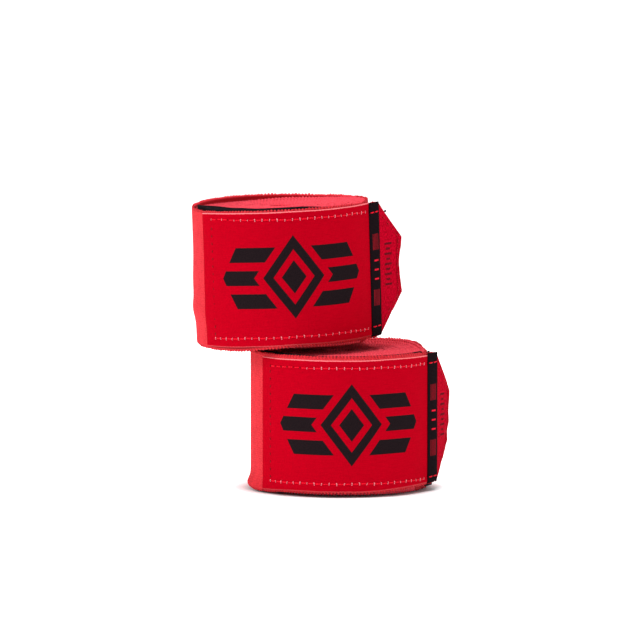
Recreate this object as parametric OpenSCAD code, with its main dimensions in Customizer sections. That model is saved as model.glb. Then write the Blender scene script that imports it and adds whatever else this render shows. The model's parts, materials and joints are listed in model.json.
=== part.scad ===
// Pair of rolled hand wraps, one stacked on the other. Millimetres, +Z up.
// The origin is on the lower roll's axis, on the surface that it stands on.
// Plan angles are counted from the front (-Y) towards +X.

/* [Webbing] */
// Width of the webbing strip
web_w = 50.8; // [38:0.1:60]
// Thickness of the webbing strip
web_t = 0.9; // [0.7:0.05:1.1]

/* [Roll] */
// Outer radius of the roll at the closure flap's webbing
roll_r = 34; // [30:0.5:38]
// Radius of the core pocket that holds the thumb loop
core_r = 5; // [4.5:0.1:7]
// How far the outer turn has slipped up past the inner turns
slip = 1.6; // [0.5:0.1:2.5]
// How far the outer turn's centre lies from the roll's axis, which makes its spiral
spiral_shift = 0.7; // [0.5:0.05:0.8]

/* [Closure] */
// Plan angle of the label's left edge, where the flap peels from
flap_start = -63; // [-70:1:-55]
// Plan angle at which the flap leaves the roll and runs straight
flap_end = 56; // [50:1:60]
// Straight stretch of the label before the ribbon
label_straight = 4.6; // [3:0.1:6]
// Height of the label
label_h = 49.6; // [34:0.1:50]
// Thickness of the label
label_t = 0.4; // [0.3:0.05:0.5]
// Thickness of the hook tape behind the flap
hook_t = 1.1; // [0.9:0.1:1.3]
// Thickness of the loop tape on the roll
loop_t = 1; // [0.8:0.1:1.2]
// Clearance between hook tape and loop tape
tape_gap = 0.3; // [0.2:0.05:0.4]
// How far both tapes stand above the flap's edge
tape_rise = 0.6; // [0:0.1:1]
// Plan angle at which the loop tape starts
loop_start = -82; // [-85:1:-72]
// Plan angle at which the loop tape ends
loop_end = 92; // [80:1:95]

/* [Ribbon and pull tab] */
// Width of the woven ribbon
ribbon_w = 7; // [5:0.5:9]
// Thickness of the woven ribbon
ribbon_t = 0.6; // [0.4:0.05:0.8]
// Length of the pull tab
tab_l = 14; // [10:0.5:18]
// Thickness of the pull tab
tab_t = 1; // [0.8:0.1:1.2]
// Height of the tab's lower chamfer
tab_low = 15.5; // [8:0.5:17]
// Height of the tab's upper chamfer
tab_high = 14.5; // [8:0.1:16]

/* [Stitching] */
// Distance from one stitch to the next
stitch_pitch = 2.8; // [2.4:0.1:4]
// Visible length of one stitch
stitch_l = 2.2; // [1.4:0.1:2.3]
// Width of the thread
thread_w = 0.45; // [0.3:0.05:0.6]
// Height of a stitch above the cloth
thread_h = 0.2; // [0.15:0.05:0.25]
// Distance of the stitch rows from the label's long edges
row_inset = 3; // [2.5:0.5:5]
// Distance of the stitch column from the label's left edge
column_inset = 5; // [3:0.5:7]

/* [Thumb loop] */
// Width of the thumb loop's strap
thumb_w = 25.4; // [12:0.1:32]
// Outer radius of the rolled thumb loop
thumb_r = 4.4; // [3:0.1:4.4]
// Radius of the hole left in the middle of the rolled thumb loop
thumb_hole = 0.8; // [0.5:0.1:1.5]
// Depth of the thumb loop's edge below the top of the inner turns
thumb_depth = 0.5; // [0.2:0.1:3]

/* [Stack] */
// Sideways place of the upper roll's axis
upper_x = -20.2; // [-24:0.1:24]
// Place of the upper roll's axis to the back
upper_y = 8; // [-10:0.5:20]
// Lean of the upper roll, which sags where it overhangs the lower one
upper_lean = 2.1; // [0:0.1:4]
// Turn of the upper roll about its own axis
upper_turn = 3.5; // [-30:0.5:30]
// Turn of the lower roll about its own axis
lower_turn = 3.5; // [-30:0.5:30]

/* [Hidden] */
$fn = 96;

body_gap = 0.3;                            // clearance between the two rolls
tab_slit = 0.4;                            // clearance between the ribbon and the pull tab
fuse = 0.05;                               // overlap that joins the outer turn to the inner turns
hook_r = roll_r - web_t - hook_t;          // inner face of the hook tape
loop_r = hook_r - tape_gap;                // outer face of the loop tape
wound_r = loop_r - loop_t;                 // inner turns under the loop tape
turn_r = roll_r - spiral_shift;            // outer radius of the outer turn about its own centre
label_r = roll_r + label_t;                // outer face of the label
label_z = slip + (web_w - label_h) / 2;    // lower edge of the label
tape_z = slip + tape_rise;                 // lower edge of both tapes
mm_angle = 180 / (PI * label_r);           // plan angle of 1 mm along the label
hinge_slit = 0.8;                          // plan angle between the outer turn and the flap
bend_steps = 48;                           // flat steps that make the flap's bend
bend_step = (flap_end - flap_start) / bend_steps;
ribbon_s = label_straight;                 // ribbon's near edge, along the straight stretch
tab_s = ribbon_s + ribbon_w + tab_slit;    // pull tab's root, along the straight stretch
upper_z = slip + web_w + tape_rise + body_gap + (roll_r - abs(upper_x)) * sin(upper_lean);

// Ring sector about the roll's axis, from plan angle a0 to a1
module sector(r0, r1, a0, a1, z, h) {
    rotate([0, 0, a0 - 90]) translate([0, 0, z]) rotate_extrude(angle = a1 - a0)
        translate([r0, 0]) square([r1 - r0, h]);
}

// Flat plate on the flap's straight stretch, from s0 to s1 along it
module plate(r0, r1, s0, s1, z, h) {
    rotate([0, 0, flap_end - 90]) translate([r0, s0, z]) cube([r1 - r0, s1 - s0, h]);
}

// One face of the flap in plan, from a step of the bend on: round the roll, then straight to s1
function flap_face(r, first, s1) = concat(
    [for (i = [first : bend_steps]) let (a = flap_start + i * bend_step) [r * sin(a), -r * cos(a)]],
    [[r * sin(flap_end) + s1 * cos(flap_end), -r * cos(flap_end) + s1 * sin(flap_end)]]);
function reversed(points) = [for (i = [len(points) - 1 : -1 : 0]) points[i]];

// One layer of the flap. All layers bend at the same steps, so they lie face to face
module flap_layer(r0, r1, first, s1, z, h) {
    translate([0, 0, z]) linear_extrude(h)
        polygon(concat(flap_face(r1, first, s1), reversed(flap_face(r0, first, s1))));
}

// One stitch along the roll at distance s from the label's left edge
module row_stitch(s, z) {
    a = flap_start + bend_step + s * mm_angle;
    half = stitch_l / 2 * mm_angle;
    sector(label_r, label_r + thread_h, a - half, a + half, z - thread_w / 2, thread_w);
}

// Inner turns wound tight, with a recess for the tapes, and the outer turn
module wound_webbing() {
    color("crimson") {
        difference() {
            translate([-spiral_shift, 0, 0]) cylinder(r = turn_r - web_t + fuse, h = web_w);
            sector(wound_r, roll_r + 2, loop_start - 2, loop_end + 2, -1, web_w + 2);
            translate([0, 0, web_w - thumb_depth - thumb_w]) cylinder(r = core_r, h = web_w);
        }
        translate([-spiral_shift, 0, 0])
            sector(turn_r - web_t, turn_r, loop_end + 2, 360 + flap_start - hinge_slit, slip, web_w);
    }
}

// End of the strip that wraps over the tapes and carries the label
module closure_webbing() {
    color("crimson") flap_layer(roll_r - web_t, roll_r, 0, ribbon_s + ribbon_w, slip, web_w);
}

module loop_tape() {
    color("#201c1e") sector(wound_r, loop_r, loop_start, loop_end, tape_z, web_w);
}

// Stitches sunk in the loop tape's pile, in two rows
module loop_tape_stitching() {
    step = stitch_pitch / (PI * loop_r) * 180;
    half = stitch_l / 2 / (PI * loop_r) * 180;
    color("#c01028")
        for (z = [tape_z + row_inset, tape_z + web_w - row_inset],
             a = [loop_start + step : step : loop_end - step])
            sector(loop_r - thread_h, loop_r, a - half, a + half, z - thread_w / 2, thread_w);
}

module hook_tape() {
    color("#201c1e") flap_layer(hook_r, roll_r - web_t, 1, ribbon_s + ribbon_w, tape_z, web_w);
}

module label() {
    color("#c8001c") flap_layer(roll_r, label_r, 1, label_straight, label_z, label_h);
}

// Two rows along the label and one column near its left edge
module label_stitching() {
    arc_l = (flap_end - flap_start - bend_step) / mm_angle;
    color("#ff3048") {
        for (z = [label_z + row_inset, label_z + label_h - row_inset],
             s = [column_inset + stitch_pitch / 2 : stitch_pitch : arc_l - stitch_l / 2])
            row_stitch(s, z);
        for (z = [label_z + row_inset + stitch_pitch / 2 : stitch_pitch :
                  label_z + label_h - row_inset - stitch_l / 2])
            sector(label_r, label_r + thread_h,
                   flap_start + bend_step + (column_inset - thread_w / 2) * mm_angle,
                   flap_start + bend_step + (column_inset + thread_w / 2) * mm_angle,
                   z - stitch_l / 2, stitch_l);
    }
}

module ribbon() {
    color("#1c181a") plate(roll_r, roll_r + ribbon_t, ribbon_s, ribbon_s + ribbon_w, label_z, label_h);
}

// The label's two rows carried on across the ribbon
module ribbon_stitching() {
    count = floor(ribbon_w / stitch_pitch);
    first = ribbon_s + (ribbon_w - (count - 1) * stitch_pitch) / 2;
    color("#ff3048")
        for (z = [label_z + row_inset, label_z + label_h - row_inset], i = [0 : count - 1])
            plate(roll_r + ribbon_t, roll_r + ribbon_t + thread_h,
                  first + i * stitch_pitch - stitch_l / 2, first + i * stitch_pitch + stitch_l / 2,
                  z - thread_w / 2, thread_w);
}

// Moves a profile drawn as (distance along the tab, height) onto the tab's outer face
module on_tab(lift) {
    rotate([0, 0, flap_end - 90]) translate([roll_r + ribbon_t - tab_t + lift, tab_s, label_z])
        rotate([90, 0, 90]) children();
}

module pull_tab() {
    color("#c8001c") on_tab(0) linear_extrude(tab_t)
        polygon([[0, 0], [tab_l, tab_low], [tab_l, label_h - tab_high], [0, label_h]]);
}

// One straight run of stitches from point a to point b on the tab
module tab_run(a, b) {
    run = norm(b - a);
    count = floor(run / stitch_pitch);
    turn = atan2(b[1] - a[1], b[0] - a[0]);
    for (i = [0 : count - 1])
        translate(a + (b - a) * (i + 0.5) / count) rotate([0, 0, turn])
            translate([-stitch_l / 2, -thread_w / 2]) cube([stitch_l, thread_w, thread_h]);
}

// Rows inside the tab's two slanted edges and its end
module tab_stitching() {
    inset = row_inset * 0.7;
    low_a = [1, inset + 1 + tab_low / tab_l];
    low_b = [tab_l - inset, tab_low + inset / 2];
    high_b = [tab_l - inset, label_h - tab_high - inset / 2];
    high_a = [1, label_h - inset - 1 - tab_high / tab_l];
    color("#ff3048") on_tab(tab_t) {
        tab_run(low_a, low_b);
        tab_run(low_b, high_b);
        tab_run(high_b, high_a);
    }
}

// The thumb loop's strap, rolled up inside the core
module thumb_loop() {
    color("crimson") translate([0, 0, web_w - thumb_depth - thumb_w]) difference() {
        cylinder(r = thumb_r, h = thumb_w);
        translate([0, 0, -1]) cylinder(r = thumb_hole, h = thumb_w + 2);
    }
}

// Short bars of thread that hold the thumb loop to the strip's inner end
module thumb_loop_bartack() {
    color("#ff3048") for (i = [0 : 3])
        sector(thumb_r, core_r, -10, 10, web_w - thumb_depth - thumb_w / 2 + i * 2 * thread_w, thread_w);
}

// Places one sub-part on the lower roll, or on the upper one
module on_lower() { rotate([0, 0, lower_turn]) children(); }
module on_upper() {
    translate([upper_x, upper_y, upper_z]) rotate([0, -upper_lean, 0]) rotate([0, 0, upper_turn]) children();
}

on_lower() wound_webbing();  // lower_wound_webbing
on_lower() closure_webbing();  // lower_closure_webbing
on_lower() loop_tape();  // lower_loop_tape
on_lower() loop_tape_stitching();  // lower_loop_tape_stitching
on_lower() hook_tape();  // lower_hook_tape
on_lower() label();  // lower_label
on_lower() label_stitching();  // lower_label_stitching
on_lower() ribbon();  // lower_ribbon
on_lower() ribbon_stitching();  // lower_ribbon_stitching
on_lower() pull_tab();  // lower_pull_tab
on_lower() tab_stitching();  // lower_tab_stitching
on_lower() thumb_loop();  // lower_thumb_loop
on_lower() thumb_loop_bartack();  // lower_thumb_loop_bartack
on_upper() wound_webbing();  // upper_wound_webbing
on_upper() closure_webbing();  // upper_closure_webbing
on_upper() loop_tape();  // upper_loop_tape
on_upper() loop_tape_stitching();  // upper_loop_tape_stitching
on_upper() hook_tape();  // upper_hook_tape
on_upper() label();  // upper_label
on_upper() label_stitching();  // upper_label_stitching
on_upper() ribbon();  // upper_ribbon
on_upper() ribbon_stitching();  // upper_ribbon_stitching
on_upper() pull_tab();  // upper_pull_tab
on_upper() tab_stitching();  // upper_tab_stitching
on_upper() thumb_loop();  // upper_thumb_loop
on_upper() thumb_loop_bartack();  // upper_thumb_loop_bartack
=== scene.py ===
"""Looks of a pair of rolled hand wraps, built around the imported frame.

Each wrap is modelled in its own space, in millimetres: +Z up its axis, plan angles in degrees counted from
the front (-Y) towards +X, and distances along the strip counted from the hinge line. Wrap.place() puts it
on its roll.
"""
import json
import math

import bpy
import numpy as np
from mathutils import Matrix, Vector


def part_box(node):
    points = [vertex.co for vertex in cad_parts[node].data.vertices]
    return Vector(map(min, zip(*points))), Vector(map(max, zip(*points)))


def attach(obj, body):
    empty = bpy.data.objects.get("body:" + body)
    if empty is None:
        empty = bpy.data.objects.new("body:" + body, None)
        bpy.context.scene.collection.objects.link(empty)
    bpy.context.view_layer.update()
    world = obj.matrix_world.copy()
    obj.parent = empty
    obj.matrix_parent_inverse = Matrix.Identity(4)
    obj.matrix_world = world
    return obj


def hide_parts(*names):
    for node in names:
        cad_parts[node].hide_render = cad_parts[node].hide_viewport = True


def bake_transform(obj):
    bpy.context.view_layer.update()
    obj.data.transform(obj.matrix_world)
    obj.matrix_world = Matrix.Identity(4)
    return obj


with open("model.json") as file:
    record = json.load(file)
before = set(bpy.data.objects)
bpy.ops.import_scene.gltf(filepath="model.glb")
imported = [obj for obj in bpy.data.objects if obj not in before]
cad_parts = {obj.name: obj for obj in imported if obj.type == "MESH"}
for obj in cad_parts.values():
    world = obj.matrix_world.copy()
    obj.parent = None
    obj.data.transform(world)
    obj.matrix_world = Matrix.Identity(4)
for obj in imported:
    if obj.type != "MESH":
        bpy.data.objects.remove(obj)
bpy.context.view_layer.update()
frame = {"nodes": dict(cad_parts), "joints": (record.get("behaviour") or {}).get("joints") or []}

MM = 1000.0  # millimetres in a metre


# ---------------------------------------------------------------- sizes

def span(node):
    """Lowest and highest corner of a CAD node, in millimetres."""
    return [np.array(corner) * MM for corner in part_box(node)]


def heights(node):
    """Lowest and highest Z of a CAD node of the lower wrap, which stands upright."""
    low, high = span(node)
    return low[2], high[2]


WEB_LOW, WEB_TOP = heights("lower_closure_webbing")
WEB_W = WEB_TOP - WEB_LOW            # webbing width
SLIP = WEB_LOW                       # rise of the outer turn above the inner turns
LABEL_LOW, LABEL_TOP = heights("lower_label")
LABEL_H = LABEL_TOP - LABEL_LOW
THUMB_LOW, THUMB_TOP = heights("lower_thumb_loop")
STRIP_L = 4500.0                     # length of one webbing strip

FLAP_START, FLAP_END = -63.0, 56.0   # plan angles where the flap hinges and where it runs straight
ROLL_R = 34.0                        # outer face of the flap's webbing
WEB_T = 0.88                         # thickness of slack webbing
HOOK_T, LOOP_T = 1.1, 1.0            # hook tape and loop tape
LABEL_T = 0.35
BEND_L = math.radians(FLAP_END - FLAP_START) * ROLL_R
RIBBON_START = BEND_L + 4.6
RIBBON_W = 7.0
RIBBON_T = 0.45
TAB_START = RIBBON_START + RIBBON_W
TAB_L = 14.5
TAB_T = 0.95
TAB_LOW, TAB_HIGH = 15.5, 14.5       # heights of the tab's lower and upper chamfer
STITCH_PITCH = 2.8
ROW_INSET = 3.0
FIRST_HOLE = 5.5                     # column of stitches, past the hinge line
SELVEDGE = 1.3                       # pitch of the weft loops along the webbing's edges
SELVEDGE_RISE = 0.26
CORE_R = 5.1                         # inner end of the webbing's spiral
LOOP_START, LOOP_END = -82.0, 92.0   # plan angles of the loop tape
FRONT_END = 60.0                     # plan angle where the outer turn leaves the wound turns
UPPER_CLIMB = 0.014                  # the upper wrap's flap was closed at a slant: rise for each mm along it
CLIMB_FROM = 43.0                    # where the slanted flap is at its nominal height
UPPER_SLANT = 0.02                   # the upper wrap's ribbon and tab lean: shift along it for each mm up
LOWER_TRIM = 0.7                     # the lower wrap's label is this much narrower
TAB_FACE = ROLL_R + 0.6              # outer face of the tab
STRAP_PITCH = 0.82                   # the thumb loop's turns, from one to the next
STRAP_R = 1.0                        # inside of the rolled thumb loop
EMBLEM_AT = 39.0                     # middle of the printed emblem, along the label
LOZENGE_W, LOZENGE_H = 11.5, 15.5    # half width and half height of its lozenge
BAR_PITCH, BAR_HALF = 8.6, 2.75      # its bars, from one to the next, and half a bar's height
BAR_REACH = 28.3                     # from the emblem's middle to the ends of a bar at its middle height
WOUND_STAND = 0.52                   # lift of the wound turns that keeps their lower loops off the floor
WOUND_RISE = 0.22                    # how far the loops of the wound turns' edges stand out
TAB_REACH = 4.5                      # length of tab that bends at the ribbon


# ---------------------------------------------------------------- small maths

def through(points, x, period=None):
    """Smooth curve through a few (x, y) points, by cubic pieces; periodic if a period is given."""
    xs, ys = (np.array(c, float) for c in zip(*points))
    if period:
        xs = np.concatenate([xs[-2:] - period, xs, xs[:2] + period])
        ys = np.concatenate([ys[-2:], ys, ys[:2]])
        x = (x - xs[2]) % period + xs[2]
    slope = np.gradient(ys, xs)
    i = np.clip(np.searchsorted(xs, x) - 1, 0, len(xs) - 2)
    h = xs[i + 1] - xs[i]
    t = np.clip((x - xs[i]) / h, 0, 1)
    return ((2 * t**3 - 3 * t**2 + 1) * ys[i] + (t**3 - 2 * t**2 + t) * h * slope[i]
            + (3 * t**2 - 2 * t**3) * ys[i + 1] + (t**3 - t**2) * h * slope[i + 1])


def ease(x, low, high):
    """0 below low, 1 above high, smooth between."""
    t = np.clip((x - low) / (high - low), 0, 1)
    return t * t * (3 - 2 * t)


def bump(x, middle, reach):
    """A bell of height 1 at middle."""
    return np.exp(-((x - middle) / reach) ** 2)


def wander(x, seed):
    """Slow, smooth, repeatable variation of about -1 to 1."""
    phase = seed * 2.399
    waves = np.sin(x + phase) + 0.6 * np.sin(1.73 * x + 2.1 * phase) + 0.4 * np.sin(3.1 * x + 3.7 * phase)
    return waves / 1.6


def radial(angle):
    """Outward unit vectors in plan at plan angles in degrees."""
    a = np.radians(angle)
    return np.stack([np.sin(a), -np.cos(a)], -1)


# ---------------------------------------------------------------- plan of the roll

# Radius of the wound turns' outside, before the outer turn, at plan angles. The tapes press the front in.
WOUND = [(-150, 32.75), (-120, 32.9), (-100, 32.5), (-84, 31.4), (-66, 30.5), (-40, 30.3), (0, 30.3),
         (40, 30.3), (60, 30.35), (76, 30.95), (90, 31.65), (110, 32.05), (135, 32.3), (180, 32.55)]
# Mid-line radius of the outer turn, from where it leaves the wound turns to the hinge line
OUTER = [(60, 30.35), (76, 31.05), (90, 31.8), (110, 32.3), (135, 32.6), (180, 32.95), (210, 33.15),
         (240, 33.4), (270, 33.6), (285, 33.58), (297, ROLL_R - WEB_T / 2)]
FIRST_TURNS = 30                     # a first guess at the number of wound turns, from which it is worked out
WOUND_PRESS = 0.94                   # the wound turns are pressed a little thinner than their spacing


def wound_radius(total, turns):
    """Mid-line radius of the wound strip at total plan angle, which counts down from FRONT_END inwards."""
    share = (FRONT_END - total) / 360 / turns
    return CORE_R + (through(WOUND, total, 360) - CORE_R) * (1 - share)


def walk(angle, radius):
    """Distance walked along a plan curve given as angles and radii."""
    p = radial(angle) * radius[:, None]
    return np.concatenate([[0], np.cumsum(np.linalg.norm(np.diff(p, axis=0), axis=1))])


def evenly(angle, radius, step):
    """The same plan curve, with points a step apart: angles, radii and distances."""
    length = walk(angle, radius)
    s = np.linspace(0, length[-1], int(round(length[-1] / step)) + 1)
    return np.interp(s, length, angle), np.interp(s, length, radius), s


OUTER_ANGLES = np.linspace(FRONT_END, 360 + FLAP_START, 900)
OUTER_L = walk(OUTER_ANGLES, through(OUTER, OUTER_ANGLES))[-1]
WOUND_L = STRIP_L - OUTER_L - TAB_START
GUESSED = np.linspace(FRONT_END - 360 * FIRST_TURNS, FRONT_END, FIRST_TURNS * 360)
TURNS = FIRST_TURNS * WOUND_L / walk(GUESSED, wound_radius(GUESSED, FIRST_TURNS))[-1]
WOUND_T = (min(radius for _, radius in WOUND) - CORE_R) / TURNS * WOUND_PRESS


def along_flap(angle):
    """Distance from the hinge line along the roll's outside, at plan angles."""
    return np.radians(angle - FLAP_START) * ROLL_R


def flap_normal(a):
    """Outward direction of the flap, a along it from the hinge line."""
    angle = FLAP_START + np.degrees(min(a, BEND_L) / ROLL_R)
    return np.append(radial(angle), 0.0)


# How far the outer turn has slipped up at total plan angles, for each wrap
RISEN = {
    "upper": [(60, 0.3), (80, 2.0), (90, 2.35), (104, 2.35), (122, 2.35), (137, 2.45), (152, 2.5), (175, 3.1),
              (194, 3.3), (214, 3.3), (231, 3.1), (250, 2.5), (270, 1.8), (285, 1.3),
              (297, SLIP - UPPER_CLIMB * CLIMB_FROM)],
    "lower": [(60, 0.6), (88, 0.6), (98, 0.65), (105, 1.2), (112, 2.2), (118, 2.7), (127, 2.9), (140, 2.9),
              (160, 2.7), (180, 2.4), (200, 2.1), (230, 1.8), (270, SLIP), (297, SLIP)],
}
# How far the inner turns next to it have slipped up with it, at plan angles
INNER_RISEN = {
    "upper": [(0, 0), (60, 0), (85, 0.7), (100, 1.1), (120, 1.1), (150, 0.8), (180, 0.8), (195, 0.3),
              (215, 0.1), (240, 0), (300, 0)],
    "lower": [(0, 0), (85, 0), (100, 0.1), (112, 1.3), (122, 2.0), (140, 2.1), (160, 1.8), (180, 1.5),
              (200, 1.2), (230, 0.8), (270, 0.4), (300, 0)],
}


# ---------------------------------------------------------------- meshes

class Wrap:
    """One wrap's place in the row frame, from its hinge and its thumb loop."""

    def __init__(self, name):
        self.name = name
        joint = next(j for j in frame["joints"] if j["name"] == f"{name}_flap_peel")
        up = -np.array(joint["axis"], float)
        up /= np.linalg.norm(up)
        low, high = span(f"{name}_thumb_loop")
        core = (low + high) / 2
        arm = np.array(joint["pos_m"], float) * MM - core
        arm -= up * (arm @ up)
        out = arm / np.linalg.norm(arm)
        along = np.cross(up, out)
        s, c = math.sin(math.radians(FLAP_START)), math.cos(math.radians(FLAP_START))
        self.turn = np.stack([s * out + c * along, -c * out + s * along, up], 1)
        self.origin = core - up * (THUMB_LOW + THUMB_TOP) / 2
        self.roll, self.flap, self.tab = f"{name}_roll", f"{name}_flap", f"{name}_tab"
        self.low = name == "lower"
        self.climb = 0.0 if self.low else UPPER_CLIMB
        self.slant = 0.0 if self.low else UPPER_SLANT
        self.label_start = 0.6 if self.low else -0.3   # label's left edge, past the hinge line
        self.label_h = LABEL_H - (LOWER_TRIM if self.low else 0.0)

    def flap_point(self, a, n, z):
        """Point on the closure flap: a along it from the hinge line, n from the roll's axis, height z."""
        a, n, z = np.broadcast_arrays(*(np.asarray(v, float) for v in (a, n, z)))
        a = a + self.slant * (z - WEB_LOW - WEB_W / 2) * ease(a, 60, 75)
        angle = FLAP_START + np.degrees(np.clip(a, None, BEND_L) / ROLL_R)
        out = radial(angle)
        tangent = np.stack([-out[..., 1], out[..., 0]], -1)
        plan = out * n[..., None] + tangent * np.clip(a - BEND_L, 0, None)[..., None]
        return np.concatenate([plan, (z + self.climb * (a - CLIMB_FROM))[..., None]], -1)

    def place(self, points):
        """Points of the wrap's own space, in metres in the row frame."""
        return (points @ self.turn.T + self.origin) / MM

    def node(self, part):
        """Name of one of the wrap's parts."""
        return f"{self.name}_{part}"

    def bend_at_hinge(self, piece):
        """The piece crosses the flap's hinge; its transform is baked into its mesh."""
        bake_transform(piece)


def build(name, points, faces, uv, materials, wrap, face_material=None):
    """A smooth mesh object from points in the wrap's space. uv is in millimetres, one per point."""
    mesh = bpy.data.meshes.new(name)
    mesh.from_pydata(wrap.place(np.asarray(points, float)).tolist(), [], [list(map(int, f)) for f in faces])
    layer = mesh.uv_layers.new(name="flat")
    corner = np.zeros(len(mesh.loops), np.int32)
    mesh.loops.foreach_get("vertex_index", corner)
    layer.data.foreach_set("uv", np.asarray(uv, np.float32)[corner].ravel())
    for material in materials:
        mesh.materials.append(material)
    if face_material is not None:
        mesh.polygons.foreach_set("material_index", np.asarray(face_material, np.int32))
    mesh.polygons.foreach_set("use_smooth", np.ones(len(mesh.polygons), bool))
    mesh.update()
    piece = bpy.data.objects.new(name, mesh)
    bpy.context.scene.collection.objects.link(piece)
    return piece


def slab(outer, inner):
    """Points and faces of a closed sheet between two grids of points (along, across, xyz)."""
    n, m, _ = outer.shape
    a = np.arange(n * m).reshape(n, m)
    b = a + n * m

    def quads(*corners):
        return np.stack([c.ravel() for c in corners], 1)

    faces = [
        quads(a[:-1, :-1], a[1:, :-1], a[1:, 1:], a[:-1, 1:]),
        quads(b[:-1, :-1], b[:-1, 1:], b[1:, 1:], b[1:, :-1]),
        quads(a[:-1, 0], b[:-1, 0], b[1:, 0], a[1:, 0]),
        quads(a[:-1, -1], a[1:, -1], b[1:, -1], b[:-1, -1]),
        quads(a[0, :-1], a[0, 1:], b[0, 1:], b[0, :-1]),
        quads(a[-1, :-1], b[-1, :-1], b[-1, 1:], a[-1, 1:]),
    ]
    return np.concatenate([outer.reshape(-1, 3), inner.reshape(-1, 3)]), np.concatenate(faces)


def grid_uv(along, across):
    """UV of both grids of a slab."""
    one = np.stack(np.meshgrid(along, across, indexing="ij"), -1).reshape(-1, 2)
    return np.concatenate([one, one])


def at_edges(rows):
    """-1 at the rows of the webbing's lower edge, 1 at those of its upper edge, 0 between."""
    return (rows > WEB_W - 0.5) * 1.0 - (rows < 0.5) * 1.0


def cloth(wrap, part, grids, along, across, materials):
    """A piece of cloth between two grids of points, with its flat measures as UV."""
    points, faces = slab(*grids)
    return build(wrap.node(part), points, faces, grid_uv(along, across), materials, wrap)


def rounded_rows(width, step, rim=0.7):
    """Distances across a strip with rounded edges, and the share of full thickness at each."""
    inner = np.linspace(rim, width - rim, max(2, int((width - 2 * rim) / step)))
    rows = np.concatenate([[0, rim * 0.35], inner, [width - rim * 0.35, width]])
    share = np.concatenate([[0.3, 0.8], np.ones(len(inner)), [0.8, 0.3]])
    return rows, share


def bar(p0, p1, normal, half_w, half_h, sides=8):
    """A stitch: a rounded bar of thread from p0 to p1 that arches out of the cloth."""
    t = np.array([0, 0.1, 0.3, 0.5, 0.7, 0.9, 1.0])
    size = np.array([0.45, 0.85, 1, 1, 1, 0.85, 0.45])
    lift = np.sin(np.pi * t) ** 0.5 * 2 - 1.0
    along = (p1 - p0) / np.linalg.norm(p1 - p0)
    side = np.cross(normal, along)
    turn = np.linspace(0, 2 * np.pi, sides, endpoint=False)
    ring = np.cos(turn)[:, None] * side * half_w + np.sin(turn)[:, None] * normal * half_h
    path = p0 + (p1 - p0) * t[:, None] + normal * (lift * half_h)[:, None]
    points = path[:, None] + ring * size[:, None, None]
    n = len(t)
    i = np.arange(n * sides).reshape(n, sides)
    j = np.roll(i, -1, axis=1)
    faces = np.stack([i[:-1], i[1:], j[1:], j[:-1]], -1).reshape(-1, 4).tolist()
    faces += [i[0].tolist(), i[-1][::-1].tolist()]
    length = np.linalg.norm(p1 - p0)
    uv = np.stack([np.repeat(t * length, sides), np.tile(turn, n)], 1)
    return points.reshape(-1, 3), faces, uv


def thread_piece(name, bars, materials, wrap):
    """One object of many stitches; each bar is (p0, p1, normal, half width, half height, material index)."""
    points, faces, uv, index, count = [], [], [], [], 0
    for *shape, material in bars:
        p, f, t = bar(*shape)
        points.append(p)
        uv.append(t)
        faces += [[v + count for v in face] for face in f]
        index += [material] * len(f)
        count += len(p)
    return build(name, np.concatenate(points), faces, np.concatenate(uv), materials, wrap, index)


# ---------------------------------------------------------------- materials

def put(tree, socket, value):
    """Feed a socket from another node, or set it to a constant."""
    if isinstance(value, bpy.types.NodeSocket):
        tree.links.new(value, socket)
    else:
        socket.default_value = value


def operate(tree, kind, operation, *values):
    """Outputs of a new node that does an operation on sockets and constants."""
    node = tree.nodes.new(kind)
    node.operation = operation
    for socket, value in zip(node.inputs, values):
        put(tree, socket, value)
    return node.outputs


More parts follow.
